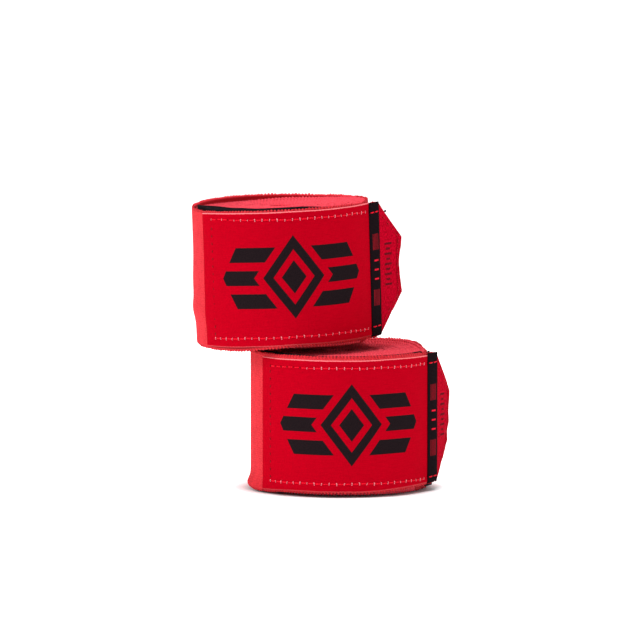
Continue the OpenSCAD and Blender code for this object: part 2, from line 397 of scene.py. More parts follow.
class Graph:
    """A material's node graph, written as sums."""

    def __init__(self, name, roughness, sheen=0.0, sheen_tint=(1, 1, 1), specular=0.5):
        self.material = bpy.data.materials.new(name)
        self.material.use_nodes = True
        self.tree = self.material.node_tree
        self.shader = self.tree.nodes["Principled BSDF"]
        self.shader.inputs["Roughness"].default_value = roughness
        self.shader.inputs["Sheen Weight"].default_value = sheen
        self.shader.inputs["Sheen Roughness"].default_value = 0.5
        self.shader.inputs["Sheen Tint"].default_value = (*sheen_tint, 1)
        self.shader.inputs["Specular IOR Level"].default_value = specular
        flat = self.tree.nodes.new("ShaderNodeUVMap")
        flat.uv_map = "flat"
        split = self.tree.nodes.new("ShaderNodeSeparateXYZ")
        self.tree.links.new(flat.outputs[0], split.inputs[0])
        self.u, self.v = split.outputs[0], split.outputs[1]
        self.flat = flat.outputs[0]

    def math(self, operation, a, b=0.0, c=0.0):
        return operate(self.tree, "ShaderNodeMath", operation, a, b, c)[0]

    def add(self, a, b):
        return self.math("ADD", a, b)

    def times(self, a, b):
        return self.math("MULTIPLY", a, b)

    def below(self, a, limit, soft=0.0):
        """1 where a is below limit, with a soft edge if asked."""
        if not soft:
            return self.math("LESS_THAN", a, limit)
        node = self.tree.nodes.new("ShaderNodeMapRange")
        node.interpolation_type = "SMOOTHSTEP"
        for socket, value in zip(node.inputs, (a, limit - soft, limit + soft, 1.0, 0.0)):
            put(self.tree, socket, value)
        return node.outputs[0]

    def wave(self, x, pitch, shift=0.0):
        """0 to 1 sine over x with the given pitch."""
        turns = self.math("MULTIPLY_ADD", x, 2 * math.pi / pitch, shift)
        return self.math("MULTIPLY_ADD", self.math("SINE", turns), 0.5, 0.5)

    def noise(self, scale, detail=2.0, stretch=(1, 1, 1)):
        """Noise over the flat cloth; scale is in bumps to the millimetre."""
        mapping = self.tree.nodes.new("ShaderNodeMapping")
        mapping.inputs["Scale"].default_value = [scale * s for s in stretch]
        put(self.tree, mapping.inputs[0], self.flat)
        node = self.tree.nodes.new("ShaderNodeTexNoise")
        node.inputs["Scale"].default_value = 1.0
        node.inputs["Detail"].default_value = detail
        put(self.tree, node.inputs["Vector"], mapping.outputs[0])
        return node.outputs[0]

    def blend(self, share, a, b):
        """Colour a where share is 0, b where it is 1."""
        node = self.tree.nodes.new("ShaderNodeMix")
        node.data_type = "RGBA"
        put(self.tree, node.inputs[0], share)
        for socket, value in ((node.inputs[6], a), (node.inputs[7], b)):
            put(self.tree, socket, value if isinstance(value, bpy.types.NodeSocket) else (*value, 1))
        return node.outputs[2]

    def finish(self, colour, height, depth):
        """The material, with its colour and a relief that is depth millimetres for a height of 1."""
        put(self.tree, self.shader.inputs["Base Color"], colour)
        node = self.tree.nodes.new("ShaderNodeBump")
        node.inputs["Distance"].default_value = depth / MM
        node.inputs["Strength"].default_value = 1.0
        put(self.tree, node.inputs["Height"], height)
        put(self.tree, self.shader.inputs["Normal"], node.outputs[0])
        return self.material


def centred(g, x, pitch):
    """Distance to the nearest multiple of pitch."""
    return g.math("PINGPONG", x, pitch / 2)


# Colour of painted shade: between the webbing's edge loops and under the label's lower edge
PAINTED_EDGE_SHADE = (0.10, 0.001, 0.004)


def webbing_material(name, light, dark, painted_gap_shade, edge=None):
    """Herringbone webbing of cotton and elastic: fine picks across, ribs along, and a heathered colour.

    The third argument is how dark the painted shade between the weft loops of its edges is, and edge, where
    given, is a lighter colour on those loops: painted light.
    """
    g = Graph(name, 0.9, sheen=0.06, sheen_tint=(1, 0.5, 0.5), specular=0.05)
    leg = g.math("PINGPONG", g.v, 6.0)
    picks = g.wave(g.add(g.u, g.times(leg, 0.8)), 1.05)
    ribs = g.wave(g.v, 0.8)
    yarn = g.math("MULTIPLY_ADD", picks, 0.7, g.times(ribs, 0.3))
    mottle = g.noise(0.35, 3.0, (1, 0.5, 1))
    fleck = g.noise(1.5, 3.0)
    grain = g.math("MULTIPLY_ADD", mottle, 0.6, g.math("MULTIPLY_ADD", fleck, 0.9, -0.25))
    cloth = g.blend(g.math("MULTIPLY_ADD", yarn, 0.40, grain), dark, light)
    to_edge = g.math("SUBTRACT", WEB_W / 2, g.math("ABSOLUTE", g.math("SUBTRACT", g.v, WEB_W / 2)))
    # between and hem are painted shade: darker between the weft loops along the edges, and a line near the
    # lower edge under the label
    between = g.times(g.below(to_edge, 0.7, 0.2), g.wave(g.u, SELVEDGE, math.pi / 2))
    under_label = g.math("GREATER_THAN", g.u, WOUND_L + OUTER_L + 1.5)
    hem = g.times(g.below(g.math("ABSOLUTE", g.math("SUBTRACT", g.v, 1.5)), 0.75, 0.3), under_label)
    # edge is painted light: a lighter colour on the loops along the edges
    if edge:
        cloth = g.blend(g.below(to_edge, 0.55, 0.25), cloth, edge)
    cloth = g.blend(g.math("MAXIMUM", g.times(between, painted_gap_shade), g.times(hem, 0.75)), cloth, PAINTED_EDGE_SHADE)
    height = g.math("MULTIPLY_ADD", yarn, 0.8, g.times(fleck, 0.7))
    return g.finish(cloth, height, 0.16)


def satin(g, base, shade):
    """Colour and height of the satin cloth of label and tab: fine floats across and slight streaks."""
    floats = g.wave(g.add(g.v, g.times(g.u, 0.33)), 0.42)
    streak = g.noise(0.9, 3.0, (0.25, 3.0, 1))
    grain = g.noise(1.3, 3.0)
    tone = g.math("MULTIPLY_ADD", floats, 0.25, g.math("MULTIPLY_ADD", streak, 0.5, g.times(grain, 0.35)))
    return g.blend(tone, shade, base), g.math("MULTIPLY_ADD", floats, 0.5, g.times(streak, 0.3))


def emblem(g, u, v):
    """1 on the printed emblem, a lozenge between two sets of level bars, about u, v = 0."""
    across, up = g.math("ABSOLUTE", u), g.math("ABSOLUTE", v)
    lozenge = g.math("MULTIPLY_ADD", across, 1 / LOZENGE_W, g.times(up, 1 / LOZENGE_H))
    ring = g.math("SUBTRACT", g.below(lozenge, 1.0, 0.012), g.below(lozenge, 0.66, 0.012))
    heart = g.below(lozenge, 0.40, 0.012)
    rows = g.below(centred(g, v, BAR_PITCH), BAR_HALF, 0.08)
    clear = g.math("SUBTRACT", 1.0, g.below(lozenge, 1.30, 0.012))
    reach = g.below(g.math("MULTIPLY_ADD", up, 0.55, across), BAR_REACH, 0.1)
    bars = g.times(g.times(rows, clear), g.times(reach, g.below(up, 12.0, 0.08)))
    return g.math("MAXIMUM", g.add(ring, heart), bars)


def label_material():
    """Red satin with the printed emblem and a pale heat-cut edge, painted lighter along the top and darker
    along the bottom.
    """
    g = Graph("label_satin", 0.75, specular=0.008)
    cloth, height = satin(g, (0.56, 0.0, 0.012), (0.24, 0.0, 0.004))
    ink_grain = g.noise(2.5, 2.0)
    ink = g.blend(ink_grain, (0.003, 0.003, 0.004), (0.022, 0.012, 0.014))
    print_at = emblem(g, g.math("SUBTRACT", g.u, EMBLEM_AT), g.math("SUBTRACT", g.v, LABEL_H / 2 + 0.5))
    printed = g.blend(print_at, cloth, ink)
    rim = g.math("SUBTRACT", LABEL_H / 2, g.math("ABSOLUTE", g.math("SUBTRACT", g.v, LABEL_H / 2)))
    fray = g.math("MULTIPLY_ADD", g.noise(1.6, 3.0), 0.5, -0.05)
    edge = g.below(g.math("SUBTRACT", rim, fray), 0.14, 0.10)
    # The pale edge is the label's own; brighter along the top and dimmer along the bottom is painted light
    # and shade
    upper = g.math("GREATER_THAN", g.v, LABEL_H / 2)
    coloured = g.blend(edge, printed, g.blend(upper, (0.50, 0.05, 0.06), (0.90, 0.20, 0.22)))
    wrinkle = g.noise(0.12, 2.0, (1.0, 0.6, 1))
    return g.finish(coloured, g.math("MULTIPLY_ADD", wrinkle, 2.2, height), 0.06)


def tab_material():
    """The label's satin, lighter for painted light, napped and worn, with a plain printed scale along the tab
    and a darker hem.
    """
    g = Graph("tab_satin_painted_light", 0.8, specular=0.012)
    # Lighter than the label's satin: painted light on the tab
    cloth, height = satin(g, (0.72, 0.001, 0.026), (0.32, 0.0, 0.009))
    nap = g.noise(1.1, 4.0)
    cloth = g.blend(g.math("MULTIPLY_ADD", nap, 2.4, -0.85), cloth, (0.24, 0.0, 0.005))
    height = g.math("MULTIPLY_ADD", nap, 1.5, height)
    hem = g.below(g.math("ABSOLUTE", g.math("SUBTRACT", g.u, TAB_L * 0.78)), 0.7, 0.5)
    cloth = g.blend(g.times(hem, g.math("MULTIPLY_ADD", nap, 1.1, -0.1)), cloth, (0.16, 0.0, 0.003))
    middle = g.math("SUBTRACT", g.v, LABEL_H / 2 + 1.0)
    row = centred(g, middle, 1.9)
    every_other = g.below(centred(g, middle, 3.8), 0.9)
    reach = g.math("MULTIPLY_ADD", every_other, 1.0, 1.3)
    across = g.math("ABSOLUTE", g.math("SUBTRACT", g.u, 5.4))
    within = g.below(g.math("SUBTRACT", across, reach), 0.0, 0.08)
    dash = g.times(g.below(row, 0.42, 0.08), within)
    ink = g.times(dash, g.below(g.math("ABSOLUTE", middle), 9.1, 0.05))
    worn = g.times(ink, g.math("MULTIPLY_ADD", g.noise(1.5, 2.0), 0.5, 0.50))
    wrinkle = g.noise(0.2, 2.0)
    printed = g.blend(worn, cloth, (0.02, 0.006, 0.009))
    return g.finish(printed, g.math("MULTIPLY_ADD", wrinkle, 1.6, height), 0.08)


def ribbon_material():
    """Black woven ribbon with two patches of fine red lines and three red bars between them."""
    g = Graph("ribbon", 0.75, specular=0.01)
    weave = g.math("MULTIPLY_ADD", g.wave(g.v, 0.5), 0.5, g.times(g.wave(g.u, 0.55), 0.5))
    black = g.blend(weave, (0.003, 0.001, 0.002), (0.014, 0.008, 0.010))
    middle = g.math("SUBTRACT", g.v, LABEL_H / 2)
    from_middle = g.math("ABSOLUTE", middle)
    inside = g.below(g.math("ABSOLUTE", g.math("SUBTRACT", g.u, RIBBON_W / 2 + 0.2)), 2.2, 0.05)
    patch = g.below(g.math("ABSOLUTE", g.math("SUBTRACT", from_middle, 10.4)), 3.0, 0.05)
    lines = g.times(g.below(centred(g, g.u, 0.9), 0.16, 0.06), g.times(patch, inside))
    bars_at = g.times(g.below(centred(g, middle, 3.45), 0.32, 0.06), g.below(from_middle, 5.0, 0.05))
    narrow = g.below(g.math("ABSOLUTE", g.math("SUBTRACT", g.u, RIBBON_W / 2 + 0.4)), 1.5, 0.05)
    red = g.math("MAXIMUM", g.times(lines, 0.45), g.times(bars_at, narrow))
    return g.finish(g.blend(red, black, (0.75, 0.01, 0.03)), weave, 0.05)


def tape_material(name, grain, depth):
    """Black nylon tape; grain is in bumps to the millimetre."""
    g = Graph(name, 0.8, specular=0.03)
    pile = g.noise(grain, 3.0)
    return g.finish(g.blend(pile, (0.001, 0.001, 0.002), (0.018, 0.013, 0.015)), pile, depth)


def thread_material(name, light, dark):
    """Twisted thread: slanting plies along each stitch."""
    g = Graph(name, 0.6, specular=0.08)
    ply = g.wave(g.add(g.times(g.u, 7.0), g.v), 2 * math.pi)
    return g.finish(g.blend(ply, dark, light), ply, 0.04)


WEBBING = webbing_material("webbing", (0.74, 0.032, 0.046), (0.32, 0.004, 0.010), 0.45)
# A darker copy of the webbing, painted shade for the outer turn's inner side, with painted light on its edge
# loops
WEBBING_PAINTED_SHADE = webbing_material("webbing_painted_shade", (0.42, 0.006, 0.014), (0.10, 0.001, 0.003), 0.35,
                                edge=(1.0, 0.05, 0.08))
# A lighter copy of the webbing: painted light on the top edges of the wound turns and the thumb strap
LIT_WOUND_WEBBING = webbing_material("webbing_edge_painted_light", (1.0, 0.085, 0.125), (0.60, 0.020, 0.036), 0.40)
LABEL = label_material()
TAB = tab_material()
RIBBON = ribbon_material()
HOOK = tape_material("hook_tape", 1.2, 0.25)
LOOP = tape_material("loop_tape", 2.5, 0.3)
TAB_THREAD = thread_material("thread_tab", (0.62, 0.001, 0.018), (0.20, 0.0, 0.004))
THREAD = thread_material("thread_red", (0.90, 0.002, 0.022), (0.55, 0.0, 0.010))
PALE = thread_material("thread_pale", (0.85, 0.27, 0.31), (0.50, 0.10, 0.13))
# The red thread darkened for painted shade where the stitches sink into the cloth
THREAD_PAINTED_SHADE = thread_material("thread_painted_shade", (0.22, 0.0, 0.004), (0.12, 0.0, 0.002))


# ---------------------------------------------------------------- pieces of one wrap

def flare(wrap, angle, z):
    """How far the webbing bells out near the hinge: the lower one's bottom corner, the upper's middle."""
    if wrap.low:
        return 1.5 * bump(angle, -84.0, 15.0) * bump(z, WEB_LOW + 1.3, 2.1)
    swell = 0.8 * bump(z, WEB_LOW + 13.0, 4.0) + 0.6 * bump(z, WEB_LOW + 22.0, 9.0)
    return bump(angle, -86.0, 24.0) * swell


def sag(wrap, angle, z):
    """How far the webbing's lower edge hangs down at plan angles, fading out up the cloth."""
    share = ease(-z, -WEB_LOW - 8.0, -WEB_LOW - 1.0)
    if wrap.low:
        drawn_up = 1.15 * ease(angle, 10.0, 66.0) + 0.3 * ease(angle, 62.0, 76.0)
        return (0.8 * bump(angle, -66.0, 18.0) - drawn_up) * share
    return 1.1 * bump(angle, -38.0, 26.0) * share


def loops(s):
    """How far the weft loops along a webbing edge stand out, at distances along the strip."""
    loop = 2 * np.abs(np.sin(s * np.pi / SELVEDGE)) ** 0.7 - 1
    return SELVEDGE_RISE * loop * (1 + 0.55 * wander(s / 2.3, 6.0)) + 0.10 * wander(s * 1.3, 2.0)


def strip(angle, radius, low, thickness, rows, share, scallop):
    """Outer and inner grids of a webbing strip that stands on edge along a plan curve."""
    p = radial(angle) * radius[:, None]
    tangent = np.gradient(p, axis=0)
    tangent /= np.linalg.norm(tangent, axis=1)[:, None]
    out = np.stack([tangent[:, 1], -tangent[:, 0]], 1)
    half = thickness / 2 * share
    z = low[:, None] + rows + at_edges(rows) * scallop[:, None]
    grids = []
    for side in (1, -1):
        plan = p[:, None, :] + out[:, None, :] * (side * half)[None, :, None]
        grids.append(np.concatenate([plan, z[..., None]], -1))
    return grids


def wound_turns(wrap):
    """The inner turns: one strip wound from the core, each turn a little high or low."""
    angle = np.linspace(FRONT_END - 360 * TURNS, FRONT_END, int(TURNS * 720))
    angle, radius, s = evenly(angle, wound_radius(angle, TURNS), SELVEDGE / 2)
    seed = 1.0 if wrap.low else 4.0
    low = 0.5 + 0.22 * wander(s / 70, seed) + 0.03 * wander(s / 9, seed + 1)
    depth = (FRONT_END - angle) / 360
    low = low * ease(depth, -0.1, 0.5) + through(INNER_RISEN[wrap.name], angle, 360) * np.exp(-depth / 6)
    radius = radius + 0.05 * wander(s / 23, seed + 2) * ease(radius, CORE_R, CORE_R + 3)
    rows = np.array([0, 0.3, WEB_W - 0.3, WEB_W])
    share = np.array([0.35, 1, 1, 0.35])
    uneven = 1 + 0.4 * wander(s / 2.3, seed + 3)
    scallop = WOUND_RISE * np.where(np.arange(len(s)) % 2, 1, -1) * uneven + 0.08 * wander(s * 1.9, seed)
    outer, inner = strip(angle, radius, low + WOUND_STAND, WOUND_T, rows, share, scallop)
    piece = cloth(wrap, "wound_turns", (outer, inner), s, rows, [LIT_WOUND_WEBBING])
    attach(piece, wrap.roll)
    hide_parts(wrap.node("wound_webbing"))
    return piece


def outer_turn(wrap):
    """The last turn, slipped up past the inner ones, from under the tapes round to the hinge line."""
    angle, radius, s = evenly(OUTER_ANGLES, through(OUTER, OUTER_ANGLES), SELVEDGE / 4)
    seed = 2.0 if wrap.low else 7.0
    low = through(RISEN[wrap.name], angle)
    low += 0.12 * wander(s / 17, seed) * ease(angle, 80, 120) * ease(-angle, -297, -270)
    rows, share = rounded_rows(WEB_W, 1.0)
    outer, inner = strip(angle, radius, low, WEB_T, rows, share, loops(s))
    for grid in (outer, inner):
        lift = flare(wrap, angle[:, None] - 360, grid[..., 2])
        grid[..., :2] += radial(angle)[:, None, :] * lift[..., None]
        grid[..., 2] -= sag(wrap, angle[:, None] - 360, grid[..., 2])
    points, faces = slab(outer, inner)
    # The inner side's faces that show above the wound turns take the darker copy of the webbing: painted
    # shade
    shaded = (angle[:-1] > 116) & (angle[:-1] < 262)      # where its inner side shows above the wound turns
    shaded_backs = np.repeat(shaded, len(rows) - 1)
    painted_shade_faces = np.zeros(len(faces))
    painted_shade_faces[len(shaded_backs):2 * len(shaded_backs)] = shaded_backs
    piece = build(wrap.node("outer_turn"), points, faces, grid_uv(s + WOUND_L, rows), [WEBBING, WEBBING_PAINTED_SHADE],
                  wrap, painted_shade_faces)
    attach(piece, wrap.roll)
    wrap.node("wound_turns")
    return piece


def draw_down(along, rows):
    """How far the upper edge of webbing and tapes is drawn down where the ribbon binds them."""
    return 0.7 * ease(along, 68.0, 76.0)[:, None] * ease(rows, WEB_W - 8.0, WEB_W)


def flap_grids(wrap, along, rows, share, n_mid, thickness, low, dent=0.0, hang=1.0):
    """Outer and inner grids of a layer of the flap; hang is how far it follows the webbing's sagging edge."""
    angle = FLAP_START + np.degrees(along / ROLL_R)
    z = low[:, None] + rows
    grids = []
    for side in (1, -1):
        n = n_mid + side * thickness / 2 * share[None, :] + flare(wrap, angle[:, None], z) + dent
        n = n - 0.5 * ease(-z, -WEB_LOW - 1.3, -WEB_LOW + 0.2)
        grids.append(wrap.flap_point(along[:, None], n, z - hang * sag(wrap, angle[:, None], z)))
    return grids


def flap_webbing(wrap):
    """The strip's end: it bends out from the hinge line and runs on under label and ribbon."""
    count = int(TAB_START / (SELVEDGE / 4))
    along = np.linspace(0, TAB_START, count)
    rows, share = rounded_rows(WEB_W, 1.0)
    s = along + WOUND_L + OUTER_L
    outer, inner = flap_grids(wrap, along, rows, share, ROLL_R - WEB_T / 2, WEB_T, np.full(count, WEB_LOW))
    for grid in (outer, inner):
        grid[..., 2] += loops(s)[:, None] * at_edges(rows) - draw_down(along, rows)
    piece = cloth(wrap, "flap_webbing", (outer, inner), s, rows, [WEBBING])
    wrap.bend_at_hinge(piece)
    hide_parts(wrap.node("closure_webbing"))
    wrap.node("outer_turn")
    return piece


def pucker(wrap, along, z):
    """Small dents of the label where its stitches pull it in."""
    dent = 0
    for row in (ROW_INSET, wrap.label_h - ROW_INSET):
        pull = 0.5 + 0.5 * np.cos((along - FIRST_HOLE) * 2 * np.pi / STITCH_PITCH)
        dent = dent - 0.11 * bump(z - LABEL_LOW, row, 0.9) * (0.35 + 0.65 * pull)
    return dent * ease(along, FIRST_HOLE - 1.5, FIRST_HOLE + 0.5)


def label(wrap):
    """The satin panel over the flap's webbing."""
    end = RIBBON_START + 1.5
    along = np.linspace(wrap.label_start, end, int((end - wrap.label_start) / 0.7))
    rim = np.array([0, 0.12, 0.4, 1.2, 2.0, 2.6, 3.0, 3.4, 4.0, 5.0])
    rows = np.concatenate([rim, np.linspace(7, wrap.label_h - 7, 16), wrap.label_h - rim[::-1]])
    share = np.ones(len(rows))
    share[[0, -1]] = 0.35
    low = np.full(len(along), LABEL_LOW) + 0.12 * wander(along / 9, 3.0 if wrap.low else 5.0)
    dent = pucker(wrap, along[:, None], low[:, None] + rows)
    outer, inner = flap_grids(wrap, along, rows, share, ROLL_R + 0.02 + LABEL_T / 2, LABEL_T, low, dent,
                              1.0 if wrap.low else 0.3)
    points, faces = slab(outer, inner)
    uv = grid_uv(along, rows * LABEL_H / wrap.label_h)
    piece = build(wrap.node("label_panel"), points, faces, uv, [LABEL], wrap)
    wrap.bend_at_hinge(piece)
    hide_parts(wrap.node("label"))
    return piece


def tape_rise(wrap, along):
    """Height of the tapes' lower edges: they stand proud of the webbing, most at the left."""
    if wrap.low:
        return (WEB_LOW + 0.6 - 0.6 * ease(along, 5, 30) + 0.1 * ease(along, 58, 75)
                - 1.2 * ease(along, 76, 78.5))
    return (WEB_LOW + 1.9 - 0.7 * ease(along, 2, 17) - 0.4 * ease(along, 17, 26) - 1.0 * ease(along, 42, 58)
            - 0.8 * ease(along, 75, 90))


def loop_rise(wrap, angle):
    """Height of the loop tape's lower edge at plan angles; it lies at the flap's slant."""
    along = along_flap(angle)
    return tape_rise(wrap, along) + wrap.climb * (along - CLIMB_FROM)


def hook_tape(wrap):
    """The hook tape on the flap's inner side."""
    along = np.linspace(0.6, TAB_START - 0.3, 110)
    rows, share = rounded_rows(WEB_W, 3.0, 0.35)
    middle = ROLL_R - WEB_T - HOOK_T / 2 - 0.03
    rise = tape_rise(wrap, along) - 0.2
    outer, inner = flap_grids(wrap, along, rows, share, middle, HOOK_T - 0.04, rise)
    for grid in (outer, inner):
        grid[..., 2] -= draw_down(along, rows) * 1.5      # it stays below the webbing's own edge
    piece = cloth(wrap, "hook_tape_strip", (outer, inner), along, rows, [HOOK])
    wrap.bend_at_hinge(piece)
    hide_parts(wrap.node("hook_tape"))
    wrap.node("flap_webbing")
    return piece


def loop_tape(wrap):
    """The loop tape lies on the strip under the flap, from the left side round to the right."""
    angle, radius, s = evenly(*loop_line(), 1.0)
    rows, share = rounded_rows(WEB_W, 3.0, 0.35)
    rise = loop_rise(wrap, angle)
    outer, inner = strip(angle, radius, rise, LOOP_T - 0.04, rows, share, np.zeros(len(s)))
    for grid in (outer, inner):
        grid[..., 2] -= sag(wrap, angle[:, None], grid[..., 2])
        if not wrap.low:
            grid[..., 2] -= draw_down(along_flap(angle), rows)
    piece = cloth(wrap, "loop_tape_strip", (outer, inner), s, rows, [LOOP])
    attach(piece, wrap.roll)
    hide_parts(wrap.node("loop_tape"))
    wrap.node("wound_turns")
    return piece


def loop_line():
    """Mid-line of the loop tape in plan: on the wound turns, then on the start of the outer turn."""
    angle = np.linspace(LOOP_START, LOOP_END, 400)
    under = np.where(angle < FRONT_END, wound_radius(angle, TURNS), through(OUTER, angle))
    return angle, under + WEB_T / 2 + LOOP_T / 2 + 0.02


def label_stitching(wrap):
    """Two rows and a column of lock stitch: a red bar between holes and a short pale tick at each hole."""
    bars = []
    surface = ROLL_R + LABEL_T + 0.03
    holes = np.arange(FIRST_HOLE, RIBBON_START - 0.8, STITCH_PITCH)
    for row, rise in ((ROW_INSET, 0.0), (wrap.label_h - ROW_INSET, 0.0 if wrap.low else 0.7)):
        for i, a in enumerate(holes):
            normal = flap_normal(a)
            z = LABEL_LOW + row + rise * (1 - ease(a, 5, 40)) + 0.12 * wander(np.array(a / 3.0), row)
            slant = 0.22 * math.sin(i * 2.1 + row)
            full = 0.85 + 0.18 * math.sin(i * 2.4 + row) - 0.35 * (row > LABEL_H / 2) * (1 - ease(a, 14, 30))
            # Ticks that are not drawn pale, and the column's stitches below, take the darker thread: painted
            # shade
            drawn = full > 0.45 + 0.5 * (wrap.low and row > LABEL_H / 2 and a < 20)
            bars.append((wrap.flap_point(a - slant / 2, surface - 0.02, z - 0.62 * full),
                         wrap.flap_point(a + slant / 2, surface - 0.02, z + 0.62 * full), normal,
                         0.12 + 0.08 * full, 0.06 + 0.06 * full, 1 if drawn else 2))
            if a + STITCH_PITCH < RIBBON_START:
                mid = flap_normal(a + STITCH_PITCH / 2)
                bars.append((wrap.flap_point(a + 0.25, surface - 0.08, z),
                             wrap.flap_point(a + STITCH_PITCH - 0.25, surface - 0.08, z), mid,
                             0.14 + 0.13 * full, 0.14, 0))
    for z in np.arange(LABEL_LOW + ROW_INSET + 0.2, LABEL_TOP - ROW_INSET - STITCH_PITCH * 0.7, STITCH_PITCH):
        bars.append((wrap.flap_point(FIRST_HOLE, surface - 0.07, z + 0.8),
                     wrap.flap_point(FIRST_HOLE, surface - 0.07, z + STITCH_PITCH - 0.8),
                     flap_normal(FIRST_HOLE), 0.24, 0.12, 2))
    piece = thread_piece(wrap.node("label_thread"), bars, [THREAD, PALE, THREAD_PAINTED_SHADE], wrap)
    wrap.bend_at_hinge(piece)
    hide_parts(wrap.node("label_stitching"))
    return piece


def ribbon(wrap):
    """The woven ribbon that binds the end of the label, a little longer than the label is wide."""
    along = np.linspace(RIBBON_START, TAB_START - 0.05, 15)
    length = LABEL_H + 0.4
    rows = np.concatenate([[0, 0.2], np.linspace(0.6, length - 0.6, 30), [length - 0.2, length]])
    share = np.ones(len(rows))
    share[[0, -1]] = 0.4
    low = np.full(len(along), LABEL_LOW - 0.3)
    across = along - along[0]
    half = RIBBON_W / 2
    crown = 0.12 * np.sin(np.pi * across / RIBBON_W) - 0.1 * ease(np.abs(across - half), half - 0.5, half)
    middle = ROLL_R + LABEL_T + 0.04 + RIBBON_T / 2
    outer, inner = flap_grids(wrap, along, rows, share, middle, RIBBON_T, low, crown[:, None])
    piece = cloth(wrap, "woven_ribbon", (outer, inner), across, rows, [RIBBON])
    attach(piece, wrap.flap)
    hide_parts(wrap.node("ribbon"))
    return piece


def ribbon_stitching(wrap):
    """Two stitches across the ribbon at each end, in line with the label's rows."""
    bars = []
    surface = ROLL_R + LABEL_T + RIBBON_T + 0.12
    for row in (ROW_INSET + 0.3, LABEL_H - ROW_INSET - 0.7):
        for i in range(2):
            a = RIBBON_START + 0.5 + i * 3.1
            z = LABEL_LOW + row + 0.1 * i
            bars.append((wrap.flap_point(a, surface, z), wrap.flap_point(a + 2.5, surface, z + 0.15),
                         flap_normal(a), 0.25, 0.17, 0))
    piece = thread_piece(wrap.node("ribbon_thread"), bars, [THREAD], wrap)
    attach(piece, wrap.flap)
    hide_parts(wrap.node("ribbon_stitching"))
    return piece


def bend_at_ribbon(wrap, piece):
    """The piece is on the tab; its transform is baked into its mesh."""
    start, end = (wrap.place(wrap.flap_point(TAB_START + a, TAB_FACE, LABEL_LOW + LABEL_H / 2))
                  for a in (0.2, TAB_REACH))
    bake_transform(piece)


def tab_edges(wrap, t):
    """Lower and upper edge of the tab at share t of its length."""
    if wrap.low:
        return TAB_LOW * t + 0.9 * (1 - t), LABEL_H - 0.6 - (TAB_HIGH + 0.8) * t
    return (TAB_LOW - 1.0) * t, LABEL_H - TAB_HIGH * t


def tab_lift(wrap, t, z):
    """How far the tab stands off its plane: a soft curl at its free corners, more on the lower wrap."""
    if wrap.low:
        below = ease(15.0 + 7.0 * t - z, -0.8, 3.5)   # under a crease that rises towards the tab's end
        return -2.5 * t**1.2 - 0.9 * below * t**0.7
    return 0.9 * t + 0.3 * t * bump(z, 14.0, 8.0) + 0.7 * t * bump(z, 35.0, 7.0)


def tab_point(wrap, t, share, n):
    """Point on the tab: t along it, share of the height there, n from the roll's axis."""
    low, high = tab_edges(wrap, t)
    z = low + (high - low) * share
    hollow = (1.1 if wrap.low else 1.6) * bump(share, 0.5, 0.32) * t**4      # the end is slightly hollow
    a = TAB_START + 0.1 + TAB_L * t - hollow
    ripple = 0.10 * wander(z / 2.1 + 3.0 * t, 8.0) * ease(t, 0.05, 0.4)
    return wrap.flap_point(a, n + tab_lift(wrap, t, z) + ripple, LABEL_LOW + z), a - TAB_START, z


def pull_tab(wrap):
    """The chamfered tab: two layers of satin with a rounded edge."""
    t = np.concatenate([np.linspace(0, 0.95, 22), [0.98, 1.0]])[:, None]
    share = np.concatenate([[0, 0.008, 0.03], np.linspace(0.06, 0.94, 26), [0.97, 0.992, 1]])[None, :]
    rim_t = np.minimum(1, 0.35 + 0.65 * (1 - t) / 0.04)
    rim_s = np.minimum(1, 0.35 + 0.65 * np.minimum(share, 1 - share) / 0.02)
    thick = TAB_T * np.minimum(rim_t, rim_s)
    seam = 0.10 * bump(t, 0.80, 0.02)
    mid = TAB_FACE - TAB_T / 2
    outer, along, z = tab_point(wrap, t, share, mid + thick / 2 - seam)
    inner, _, _ = tab_point(wrap, t, share, mid - thick / 2)
    points, faces = slab(outer, inner)
    uv = np.stack(np.broadcast_arrays(along, z), -1).reshape(-1, 2)
    piece = build(wrap.node("tab_panel"), points, faces, np.concatenate([uv, uv]), [TAB], wrap)
    bend_at_ribbon(wrap, piece)
    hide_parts(wrap.node("pull_tab"))
    wrap.node("woven_ribbon")
    return piece


def tab_stitching(wrap):
    """Rows of stitches inside the slanted edges and the end, and a loose thread end on the upper tab."""
    mid = TAB_FACE + 0.02
    corners = [(0.1, 0.075), (0.80, 0.10), (0.80, 0.90), (0.1, 0.925)]
    bars = []
    for (t0, s0), (t1, s1) in zip(corners, corners[1:]):
        p0, p1 = tab_point(wrap, t0, s0, mid)[0], tab_point(wrap, t1, s1, mid)[0]
        count = max(1, int(np.linalg.norm(p1 - p0) / STITCH_PITCH))
        for i in range(count):
            f = (np.array([i, i + 0.82]) + 0.09) / count
            a, b = [tab_point(wrap, t0 + (t1 - t0) * x, s0 + (s1 - s0) * x, mid)[0] for x in f]
            bars.append((a, b, flap_normal(BEND_L), 0.2, 0.13, 0))
    tail = tab_point(wrap, 0.29, 1.0, mid - 0.5)[0]
    if not wrap.low:
        bars.append((tail, tail + np.array([0.6, 0.5, 0.5]), flap_normal(BEND_L), 0.36, 0.36, 1))
    piece = thread_piece(wrap.node("tab_thread"), bars, [TAB_THREAD, HOOK], wrap)
    bend_at_ribbon(wrap, piece)
    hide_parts(wrap.node("tab_stitching"))
    return piece


